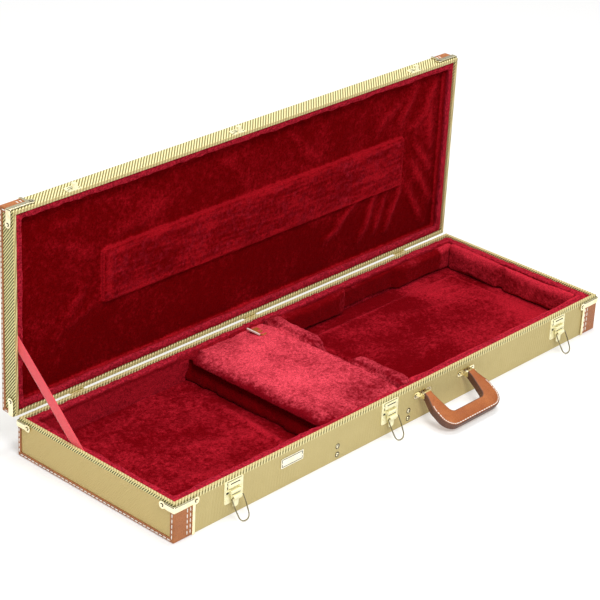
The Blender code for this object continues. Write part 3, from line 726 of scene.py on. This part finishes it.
# Folds as (start, end, height, half width): in (x, z) on the open lid, in (x, y) on the floor
LID_FOLDS = (
    ((0.3, 0.2), (0.205, 0.12), 0.0045, 0.009),
    ((0.345, 0.195), (0.29, 0.105), 0.004, 0.009),
    ((0.372, 0.185), (0.335, 0.11), 0.003, 0.007),
    ((0.41, 0.19), (0.37, 0.1), 0.0045, 0.01),
    ((0.435, 0.23), (0.505, 0.13), 0.0045, 0.01),
    ((0.43, 0.18), (0.48, 0.095), 0.004, 0.009),
    ((0.445, 0.26), (0.5, 0.19), 0.004, 0.009),
    ((0.44, 0.3), (0.5, 0.38), 0.004, 0.012),
    ((0.395, 0.31), (0.43, 0.395), 0.0035, 0.011),
    ((0.33, 0.325), (0.4, 0.365), 0.003, 0.01),
    ((0.18, 0.3), (0.09, 0.385), 0.0025, 0.012),
    ((0.26, 0.225), (0.35, 0.235), 0.0035, 0.008),
    ((0.25, 0.205), (0.33, 0.212), 0.003, 0.008),
    ((-0.34, 0.205), (-0.43, 0.15), 0.0025, 0.012),
    ((-0.35, 0.29), (-0.46, 0.34), 0.0025, 0.013),
    ((-0.3, 0.3), (-0.18, 0.345), 0.0025, 0.012),
    ((-0.37, 0.235), (-0.4, 0.175), 0.003, 0.01),
    ((-0.425, 0.34), (-0.37, 0.352), 0.0022, 0.007),
    ((0.02, 0.29), (-0.05, 0.37), 0.0022, 0.014),
    ((0.47, 0.33), (0.485, 0.24), 0.003, 0.01),
)
FLOOR_FOLDS = (
    ((-0.47, -0.06), (-0.25, -0.11), 0.0024, 0.01),
    ((-0.42, 0.09), (-0.23, 0.03), 0.0022, 0.012),
    ((-0.36, 0.01), (-0.21, -0.06), 0.002, 0.01),
    ((-0.215, -0.145), (-0.2, 0.06), 0.006, 0.009),
    ((-0.235, -0.12), (-0.222, -0.02), 0.003, 0.007),
    ((-0.495, 0.12), (-0.485, -0.12), 0.004, 0.012),
    ((0.12, -0.08), (0.3, -0.03), 0.002, 0.012),
    ((0.26, 0.06), (0.44, 0.02), 0.002, 0.012),
    ((0.36, 0.085), (0.455, 0.07), 0.0025, 0.007),
    ((0.38, 0.06), (0.45, 0.048), 0.002, 0.006),
)


def folds(x, y, rows):
    """The folds' height at each point, and how near it is to a crest, for a painted highlight on
    the crests.
    """
    tallest = 0.0045
    lift, crest = np.zeros(len(x)), np.zeros(len(x))
    for start, end, height, width in rows:
        lift += ridge(x, y, start, end, height, width)
        near = ridge(x, y, start, end, 1.0, width * 0.8)
        crest = np.maximum(crest, near * height / tallest)
    return lift, crest


def bulge_inwards(moved, points, normals, roll, edges):
    """Moves the inner faces beyond each (axis, low, high) edge inwards by roll."""
    for axis, low, high in edges:
        for side, edge in ((1, low), (-1, high)):
            beyond = side * (points[:, axis] - edge) < 0
            facing = smoothstep(side * normals[:, axis], -0.3, 0.5)
            moved[:, axis] += side * roll * beyond * facing


def lid_shape(points, normals):
    """Folds pulled into the lid's lining, and the brushed rows of its neck pad."""
    x, z = points[:, 0], points[:, 2]
    inner = smoothstep(-normals[:, 1], 0.3, 0.8) * smoothstep(points[:, 1], 0.194, 0.197)
    bend = 0.012 * lumps(points, 0.060, 37) + 0.0035 * lumps(points, 0.018, 39)
    lift, crest = folds(x + bend, z - bend, LID_FOLDS)

    # The neck pad's ragged outline, its wavering brushed rows and the welt along its edges
    ragged = 0.004 * lumps(points, 0.020, 33)
    pad = smoothstep(x + ragged, -0.338, -0.312) * smoothstep(-x + ragged, -0.412, -0.390)
    pad *= smoothstep(z + ragged, 0.184, 0.199) * smoothstep(-z + ragged, -0.298, -0.278)
    wave = 0.003 * np.sin(9 * x) + 0.002 * np.sin(23 * x)
    row_pitch = 0.0085
    rows = np.sin(2 * math.pi * (z + wave) / row_pitch) * (0.6 + 0.6 * lumps(points, 0.05, 35))
    welt = np.exp(-((z - 0.197) / 0.007) ** 2) + np.exp(-((z - 0.282) / 0.006) ** 2)
    welt += np.exp(-((x + 0.318) / 0.007) ** 2)
    lift += pad * (0.0016 + 0.0006 * rows + 0.0012 * np.clip(welt, 0, 1))
    streaks = lumps(points * np.array((0.12, 1.0, 1.0)), 0.004, 31)
    # Painted highlight on the folds' crests and over the pad and its welt, with the pad's brushed
    # rows and streaks
    nap_and_painted_light = 0.8 * crest + pad * (0.16 + 0.22 * rows + 0.40 * streaks + 0.60 * np.clip(welt, 0, 1))

    # Painted shade below the pad and painted highlight on the turned edge's faces that turn up or
    # to the left; that edge bulges inwards
    nap_and_painted_light -= 0.20 * smoothstep(-z, -0.185, -0.165) * (1 - crest)
    nap_and_painted_light += 0.9 * smoothstep(normals[:, 2], 0.5, 0.9) + 1.2 * smoothstep(-normals[:, 0], 0.5, 0.9)
    moved = points.copy()
    moved[:, 1] -= inner * lift
    roll = 0.0042 * (1 - smoothstep(points[:, 1], 0.187, 0.197))
    roll *= 1 + 0.5 * lumps(points, 0.016, 43)
    bulge_inwards(moved, points, normals, roll, ((0, -0.505, 0.505), (2, 0.085, 0.397)))
    return moved, nap_and_painted_light


def floor_shape(points, normals):
    """Raised platform in the body compartment, and soft wrinkles elsewhere."""
    x, y = points[:, 0], points[:, 1]
    up = smoothstep(normals[:, 2], 0.2, 0.8)
    left, right, front, back = 0.062, 0.478, -0.128, 0.122
    inset = np.minimum(np.minimum(x - left, right - x), np.minimum(y - front, back - y))
    platform = smoothstep(inset, 0.0, 0.014)
    ledge = np.exp(-((inset - 0.012) / 0.005) ** 2)
    lift, crest = folds(x, y, FLOOR_FOLDS)
    lift += 0.007 * platform
    moved = points.copy()
    moved[:, 2] += up * lift
    # Painted highlight on the folds' crests and the platform's ledge, and painted shade over the
    # left compartment; the body compartment's floor is blotchy and pales towards its right end
    nap_and_painted_light = 0.5 * crest + 0.45 * ledge - 0.2 * (x < 0)
    nap_and_painted_light += (x > 0.05) * (0.6 * lumps(points, 0.080, 73) + 0.7 * smoothstep(x, 0.20, 0.45) - 0.50)
    return moved, nap_and_painted_light


def pocket_lid_shape(points, normals):
    """The padded lid's crown, its left edge rolled down and that edge's corners rounded."""
    moved = points.copy()
    left, side, corner = -0.1762, 0.159, 0.030
    roll_run, roll_drop = 0.026, 0.0115
    dx = np.maximum(left + corner - points[:, 0], 0)
    dy = np.maximum(np.abs(points[:, 1]) - (side - corner), 0)
    away = np.hypot(dx, dy)
    shrink = np.where((away > corner) & (dx > 0), corner / np.maximum(away, corner), 1.0)
    moved[:, 0] = np.where(dx > 0, left + corner - dx * shrink, points[:, 0])
    pulled = np.where(dx > 0, side - corner + dy * shrink, side - corner + dy)
    moved[:, 1] = np.where(dy > 0, np.sign(points[:, 1]) * pulled, points[:, 1])

    x, y = moved[:, 0], moved[:, 1]
    up = smoothstep(normals[:, 2], -0.2, 0.5)
    near = np.maximum(roll_run - np.maximum(corner - np.minimum(away, corner), 0), 0)
    near = np.where(dx > 0, near, np.maximum(roll_run - (x - left), 0)) / roll_run
    patchy = lumps(points, 0.028, 41)
    near *= smoothstep(-x, 0.120, 0.150)
    roll = 1 - np.sqrt(1 - (0.97 * np.clip(near, 0, 1)) ** 2)
    crown = 0.0040 * (1 - smoothstep(np.abs(y), 0.128, 0.158))
    moved[:, 2] += up * crown * (1 - near) - (0.35 + 0.65 * up) * roll_drop * roll
    # Painted shade over the rolled-down left edge, ragged; darker in patches towards the front
    nap_and_painted_light = 0.25 * patchy - (0.45 + 0.55 * patchy) * smoothstep(-y, 0.02, 0.13)
    nap_and_painted_light -= 0.6 * roll + 1.5 * np.clip(near, 0, 1) ** 1.5 * (0.8 + 0.7 * patchy)
    return moved, nap_and_painted_light


def pocket_wall_shape(points, normals):
    """The pocket's left side leans in below its lid and swells at its foot."""
    z = points[:, 2]
    out = smoothstep(-normals[:, 0], 0.3, 0.9)
    foot = np.sin(np.pi * np.clip((z - 0.004) / 0.034, 0, 1))
    moved = points.copy()
    moved[:, 0] += out * (0.0045 * smoothstep(z, 0.020, 0.046)
                          - foot * (0.0050 + 0.0035 * lumps(points, 0.022, 51)))
    # Painted shade: dark all over and darkest near the top, under the lid, in patches
    return moved, 0.6 * lumps(points, 0.014, 53) - 0.9 - 0.6 * smoothstep(z, 0.022, 0.046)


def cradle_shape(points, normals):
    """Two stuffed bumps either side of the neck's dip."""
    y, z = points[:, 1], points[:, 2]
    away = np.abs(y)
    bump = smoothstep(away, 0.026, 0.062) * (1 - smoothstep(away, 0.135, 0.160))
    high = smoothstep(z, 0.030, 0.060)
    moved = points + normals * (high * bump * 0.0034)[:, None]
    moved[:, 2] += high * bump * 0.0022
    crease_x = 0.0115
    crease = np.exp(-((points[:, 0] - crease_x) / 0.0025) ** 2)
    crease *= smoothstep(normals[:, 2], 0.4, 0.9)
    moved[:, 2] -= crease * 0.0022 * bump
    # Painted shade in the crease and off the bumps, in patches
    return moved, 0.3 * lumps(points, 0.020, 61) - 0.5 * crease - 0.3 * (1 - bump) - 0.35


def bolster_shape(points, normals):
    """Rounded crest that leans outwards, with a painted highlight that grows towards it."""
    z = points[:, 2]
    crest = smoothstep(z, 0.045, 0.060)
    moved = points + normals * (0.0012 * crest + 0.0010 * lumps(points, 0.030, 71))[:, None]
    moved[:, 2] += 0.0030 * smoothstep(z, 0.040, 0.060)
    end = smoothstep(points[:, 0], 0.465, 0.475)
    moved[:, 0] += 0.0022 * crest * end
    y = points[:, 1]
    moved[:, 1] += 0.0022 * crest * np.sign(y) * (np.abs(y) > 0.135) * (1 - end)
    lobes = 0.7 * lumps(points, 0.060, 75)
    back = smoothstep(y, 0.130, 0.140) * (1 - end)
    return moved, (1.1 - 0.5 * back) * crest - 0.35 + 0.6 * end + (lobes - 0.5) * back


def lining_shape(points, normals):
    """A turned edge that bulges inwards, and a painted highlight on the back wall, which faces
    the light.
    """
    moved = points.copy()
    x = points[:, 0]
    roll = 0.0040 * smoothstep(points[:, 2], 0.052, 0.062) * (1 + 0.5 * lumps(points, 0.016, 45))
    roll *= 1 - smoothstep(x, -0.200, -0.190) * (1 - smoothstep(x, 0.035, 0.045))
    bulge_inwards(moved, points, normals, roll, ((0, -0.500, 0.500), (1, -0.150, 0.150)))
    return moved, 0.7 * smoothstep(-normals[:, 1], 0.5, 0.9)


def plush_pieces():
    soft_piece("lid_lining_plush", ("lid_lining", "lid_neck_pad"), "lid", PLUSH_LID_PAINTED_SHADE,
               voxel=0.0026, smooth=4, fur=0.0006, seed=1, shape=lid_shape)
    soft_piece("tray_lining_plush", ("tray_side_lining",), "tray", PLUSH_TRAY,
               voxel=0.0026, smooth=3, fur=0.0012, seed=2, shape=lining_shape)
    soft_piece("tray_floor_plush", ("tray_floor_pad",), "tray", PLUSH,
               voxel=0.0030, smooth=2, fur=0.0006, seed=3, shape=floor_shape)
    soft_piece("pocket_lid_plush", ("pocket_lid",), "pocket_lid", PLUSH_PAINTED_LIT,
               voxel=0.0020, smooth=8, fur=0.0015, seed=4, shape=pocket_lid_shape)
    soft_piece("pocket_left_wall_plush", ("pocket_left_wall",), "tray", PLUSH,
               voxel=0.0024, smooth=3, fur=0.0016, seed=5, shape=pocket_wall_shape)
    soft_piece("pocket_right_wall_plush", ("pocket_right_wall",), "tray", PLUSH,
               voxel=0.0024, smooth=3, fur=0.0007, seed=6)
    soft_piece("neck_cradle_plush", ("neck_cradle",), "tray", PLUSH_PAINTED_LIT,
               voxel=0.0022, smooth=9, fur=0.0013, seed=7, shape=cradle_shape,
               swell=0.0030)
    for seed, place, smooth in ((8, "back", 12), (9, "end", 12), (10, "front", 5)):
        soft_piece(f"bolster_{place}_plush", (f"bolster_{place}",), "tray", PLUSH_CREST_PAINTED_LIT,
                   voxel=0.0024, smooth=smooth, fur=0.0009, seed=seed, shape=bolster_shape,
                   swell=0.0022)


# ---------------------------------------------------------------- strap and pull tab

def strap():
    """Coral ribbon from the tray's left wall to the lid's."""
    low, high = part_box("lid_strap")
    x = (low.x + high.x) / 2
    tray_end = np.array((0.047, TRAY_RIM))  # (y, z) where it shows
    lid_end = np.array((0.1813, 0.190))
    run = lid_end - tray_end
    reach = np.linalg.norm(run)
    along = run / reach
    across = np.array((-along[1], along[0]))
    tuck, half, thick = 0.016, 0.011, 0.0005
    rows, columns = 64, 8
    ring = [(2 * j / columns - 1, 1) for j in range(columns + 1)]
    ring += [(w, -1) for w, _ in reversed(ring[1:-1])]
    vertices = []
    for i in range(rows + 1):
        t = -tuck + (reach + 2 * tuck) * i / rows
        bow = 0.0004 * math.sin(math.pi * i / rows)
        for w, layer in ring:
            p = tray_end + along * t + across * half * w
            vertices.append((x + bow + layer * thick * (1 - w ** 6), *p))
    faces = tube_faces(0, rows + 1, len(ring))
    for base in (0, rows * len(ring)):
        faces.append(tuple(base + k for k in range(len(ring))))
    piece = mesh_object("lid_strap_ribbon", vertices, faces, RIBBON)
    bm = bmesh.new()
    bm.from_mesh(piece.data)
    bmesh.ops.recalc_face_normals(bm, faces=bm.faces)
    bm.to_mesh(piece.data)
    bm.free()
    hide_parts("lid_strap")
    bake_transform(piece)


def pull_tab():
    """Leather tab sewn to the pocket's lid, its pale cut edge standing up."""
    low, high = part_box("pocket_pull_tab")
    base = low.z - 0.0012
    length, steps, thick = high.x - low.x, 16, 0.0024
    profile = []
    for i in range(steps + 1):
        t = i / steps
        rise = 0.0060 * math.cos(min(t / 0.45, 1.0) * math.pi / 2) ** 1.3
        profile.append((low.x + length * t, base + 0.002 + rise))  # its left end stands up
    vertices, faces = [], []
    for px, pz in profile:
        for y in (low.y, high.y):
            for dz in (0.0, thick):
                vertices.append((px, y, pz + dz))
    for i in range(steps):
        a = 4 * i
        for p, q in ((0, 1), (1, 3), (3, 2), (2, 0)):
            faces.append((a + p, a + q, a + q + 4, a + p + 4))
    faces.append((0, 2, 3, 1))
    faces.append((4 * steps, 4 * steps + 1, 4 * steps + 3, 4 * steps + 2))
    piece = mesh_object("pocket_pull_tab_leather", vertices, faces, HANDLE_LEATHER, False)
    piece.data.materials.append(THREAD)
    pale = {*range(8), 4 * steps}  # the faces of the raised end's first two steps, and its cut
    piece.data.polygons.foreach_set(
        "material_index", [int(i in pale) for i in range(len(piece.data.polygons))])
    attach(piece, "pocket_lid")
    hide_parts("pocket_pull_tab")


# ---------------------------------------------------------------- handle

def rounded(corners, steps):
    """Outline points through (x, y, radius) corners, with an arc at each one."""
    points = []
    for i, (x, y, radius) in enumerate(corners):
        corner = Vector((x, y))
        before = (Vector(corners[i - 1][:2]) - corner).normalized()
        after = (Vector(corners[(i + 1) % len(corners)][:2]) - corner).normalized()
        if radius == 0:
            points.append(corner)
            continue
        half = before.angle(after) / 2
        centre = corner + (before + after).normalized() * radius / math.sin(half)
        start = (corner + before * radius / math.tan(half) - centre).normalized()
        end = (corner + after * radius / math.tan(half) - centre).normalized()
        for step in range(steps + 1):
            points.append(centre + radius * start.slerp(end, step / steps))
    return points


HANDLE_X, HANDLE_HALF, HANDLE_LEG = 0.0975, 0.0565, 0.008  # middle, to each pin, half a leg
HANDLE_THICK = 0.0065       # half of it
HANDLE_REACH, HANDLE_GRIP = 0.0735, 0.026  # from the pins to the outer edge, and the grip's depth
HANDLE_AXIS = (HANDLE_X, FACE - 0.010, 0.0465)
# Drawn flat from the pins outwards, then turned to droop 30 degrees below level
HANDLE_TURN = (Matrix.Translation(HANDLE_AXIS) @ Matrix.Rotation(math.radians(30), 4, "X")
               @ Matrix.Rotation(math.pi, 4, "X"))


def handle_outline(inset):
    """The grip's outline, drawn in by inset."""
    outer = HANDLE_HALF + HANDLE_LEG + 0.0085 - inset
    inner = HANDLE_HALF - HANDLE_LEG - 0.003 + inset
    deep = HANDLE_REACH - HANDLE_GRIP + inset
    leg = HANDLE_LEG - inset
    right = [(inner - 0.004, deep, 0.010 + inset), (inner, deep * 0.55, 0.02),
             (HANDLE_HALF - leg, HANDLE_THICK, 0), (HANDLE_HALF - leg, -0.0013, 0),
             (HANDLE_HALF + leg, -0.0013, 0), (HANDLE_HALF + leg, HANDLE_THICK, 0),
             (outer, deep * 0.60, 0.03), (outer - 0.001, HANDLE_REACH - inset, 0.026 - inset)]
    left = [(-x, y, r) for x, y, r in reversed(right)]
    return rounded(right + left, 10)


def handle():
    """Leather grip: two hides over a core, with dark edges, partly their burnish and partly
    painted shade on the side faces, and an outer seam.
    """
    layers = ((-1.0, 0.0016), (-0.90, 0.0004), (-0.55, 0.0), (0.0, 0.0005), (0.55, 0.0),
              (0.90, 0.0004), (1.0, 0.0016))
    bm = bmesh.new()
    for height, inset in layers:
        outline = handle_outline(inset)
        for p in outline:
            bm.verts.new((p.x, p.y, height * HANDLE_THICK))
    bm.verts.ensure_lookup_table()
    count = len(outline)
    sides = tube_faces(0, len(layers), count)
    for face in sides:
        bm.faces.new([bm.verts[i] for i in face])
    for base in (0, (len(layers) - 1) * count):
        cap = bm.faces.new([bm.verts[base + k] for k in range(count)])
        bmesh.ops.triangulate(bm, faces=[cap])
    bmesh.ops.recalc_face_normals(bm, faces=bm.faces)
    mesh = made_mesh(bm, "handle_grip_leather")
    mesh.transform(HANDLE_TURN)
    piece = finish_mesh("handle_grip_leather", mesh, HANDLE_LEATHER)
    mesh.materials.append(DARK_EDGE_AND_SHADE)
    mesh.polygons.foreach_set(
        "material_index", [int(i < len(sides)) for i in range(len(mesh.polygons))])
    mesh.set_sharp_from_angle(angle=math.radians(50))
    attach(piece, "handle")
    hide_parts("handle_grip")

    deep = HANDLE_REACH - HANDLE_GRIP
    line = [p for p in handle_outline(0.0032)
            if p.y > HANDLE_THICK + 0.004 and (abs(p.x) > HANDLE_HALF or p.y > deep + 0.012)]
    spacing = 0.0062
    rows = []
    for face in (-1, 1):
        for a, b in zip(line, line[1:]):
            steps = max(1, round((b - a).length / spacing))
            for k in range(steps):
                p, q = (a.lerp(b, t / steps).to_3d() for t in (k, k + 0.80))
                p.z = q.z = face * HANDLE_THICK
                length = (q - p).length
                rows.append(stitch_row((p, q), (0, 0, face), length * 0.99, length, 0.0009))
    vertices, faces = joined(rows)
    turned = [HANDLE_TURN @ Vector(v) for v in vertices]
    seam = mesh_object("handle_stitches", turned, faces, THREAD)
    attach(seam, "handle")


# ---------------------------------------------------------------- dark details

def slab(bm, low, high, bevel=0.0002):
    """One small bevelled bar between two corners."""
    low, high = Vector(low), Vector(high)
    bar = bmesh.ops.create_cube(bm, size=1.0)["verts"]
    for v in bar:
        v.co = (low + high) / 2 + Vector(a * b for a, b in zip(v.co, high - low))
    edges = list({e for v in bar for e in v.link_edges})
    bmesh.ops.bevel(bm, geom=edges, offset=bevel, segments=2, affect="EDGES", profile=0.5)


def bars(name, body, rows):
    """One dark piece of small bars, each a (low corner, high corner) row."""
    bm = bmesh.new()
    for low, high in rows:
        slab(bm, low, high)
    piece = finish_mesh(name, made_mesh(bm, name), GAP_SHADE_PAINT, False)
    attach(piece, body)


def latch_details(number):
    """Dark bars painted as the shade in the draw latch's slots, beside its lever and along its
    fold line, and its spring, which reads dark.
    """
    low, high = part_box(f"latch_base_{number}")
    x = (low.x + high.x) / 2
    hood, plate, face = FACE - 0.0036, FACE - PLATE, FACE - 0.0062
    bars(f"latch_slot_shade_{number}", "tray", (
        # across the hood, then under the plate's top edge
        ((x - 0.0096, hood - 0.0002, 0.0560), (x + 0.0106, hood + 0.0004, 0.0578)),
        ((x - 0.0150, plate - 0.0003, 0.0602), (x + 0.0165, plate + 0.0004, 0.0610)),
        # beside the lever, then the spring's ends
        ((x - 0.0146, plate - 0.0004, 0.0480), (x - 0.0134, plate + 0.0004, 0.0590)),
        ((x - 0.0158, plate - 0.0006, 0.0400), (x - 0.0118, plate + 0.0004, 0.0432)),
        ((x + 0.0126, plate - 0.0006, 0.0392), (x + 0.0156, plate + 0.0004, 0.0418)),
        ((x - 0.0172, plate - 0.0004, 0.0284), (x - 0.0144, plate + 0.0004, 0.0312))))
    bars(f"latch_fold_shade_{number}", f"latch_lever_{number}", (
        ((x - 0.0094, face - 0.0003, 0.0389), (x + 0.0094, face + 0.0003, 0.0400)),))


def catch_slot_shade(number):
    """Dark bars painted as the shade in the lid catch's slot and beside its hook."""
    low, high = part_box(f"latch_catch_{number}")
    x, y = (low.x + high.x) / 2, low.y
    bottom, top = (HINGE_Z + HINGE_Y - FACE + PLATE + proud for proud in (-0.0003, 0.0002))
    bars(f"catch_slot_shade_{number}", "lid", [
        ((x + left, y + near, bottom), (x + right, y + far, top))
        for left, right, near, far in (
            (-0.0080, 0.0080, 0.0060, 0.0080), (-0.0128, -0.0094, 0.0020, 0.0050),
            (0.0094, 0.0128, 0.0020, 0.0050), (-0.0070, 0.0030, 0.0108, 0.0122))])


def rings(name, body, spots, turn=None):
    """Dark rings painted as the shade round nail heads, each at a (centre, outward axis) spot."""
    bm = bmesh.new()
    for centre, axis in spots:
        spin = Vector(axis).to_track_quat("Z", "Y").to_matrix().to_4x4()
        bmesh.ops.create_cone(bm, cap_ends=True, segments=18, radius1=0.0034, radius2=0.0031,
                              depth=0.0004, matrix=Matrix.Translation(centre) @ spin)
    mesh = made_mesh(bm, name)
    if turn:
        points, _ = vertex_arrays(mesh)
        set_points(mesh, np.ascontiguousarray(turn(points)))
    piece = finish_mesh(name, mesh, GAP_SHADE_PAINT, False)
    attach(piece, body)


def corner_spots(z):
    """A nail on each arm of the four corner brackets, at height z."""
    spots = []
    for side_x in (-1, 1):
        for side_y in (-1, 1):
            spots.append(((side_x * 0.4805, side_y * 0.1776, z), (0, side_y, 0)))
            spots.append(((side_x * 0.5266, side_y * 0.1515, z), (side_x, 0, 0)))
    return spots


def handle_spots():
    """The two nails of each handle bracket."""
    return [((HANDLE_X + side * HANDLE_HALF + way * 0.0165, FACE - 0.0013, HANDLE_AXIS[2]),
             (0, -1, 0)) for side in (-1, 1) for way in (-1, 1)]


def nameplate_border():
    """A plain engraved line round the blank plate."""
    low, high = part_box("nameplate")
    y, half = FACE - PLATE, 0.00045
    x0, x1, z0, z1 = low.x + 0.0026, high.x - 0.0026, low.z + 0.0022, high.z - 0.0022
    front, back = y - 0.00015, y + 0.0002
    rows = [((x0, front, z - half), (x1, back, z + half)) for z in (z0, z1)]
    rows += [((x - half, front, z0), (x + half, back, z1)) for x in (x0, x1)]
    bars("nameplate_border", "tray", rows)


# ---------------------------------------------------------------- assembly

camera()
studio()
paint_cad()
plush_pieces()
strap()
pull_tab()
handle()
for word, side in (("left", -1), ("right", 1)):
    stitches(f"tray_stitches_{word}", leather_rows(side, 0.0, TRAY_RIM), "tray")
    stitches(f"lid_stitches_{word}", leather_rows(side, LID_TOP, LID_RIM), "lid", opened)
screws("front_screws", "tray",
       ((-0.164, FACE, 0.025), (-0.164, FACE, 0.010), (0.009, FACE, 0.024), (0.009, FACE, 0.010)),
       radius=0.0034, height=0.0016)
for latch in (1, 2, 3):
    latch_details(latch)
    catch_slot_shade(latch)
nameplate_border()
# Painted shade round the nails of the corner and handle brackets
rings("tray_nail_shade_rings", "tray", corner_spots(0.058) + handle_spots())
rings("lid_nail_shade_rings", "lid", corner_spots(0.0786), opened)
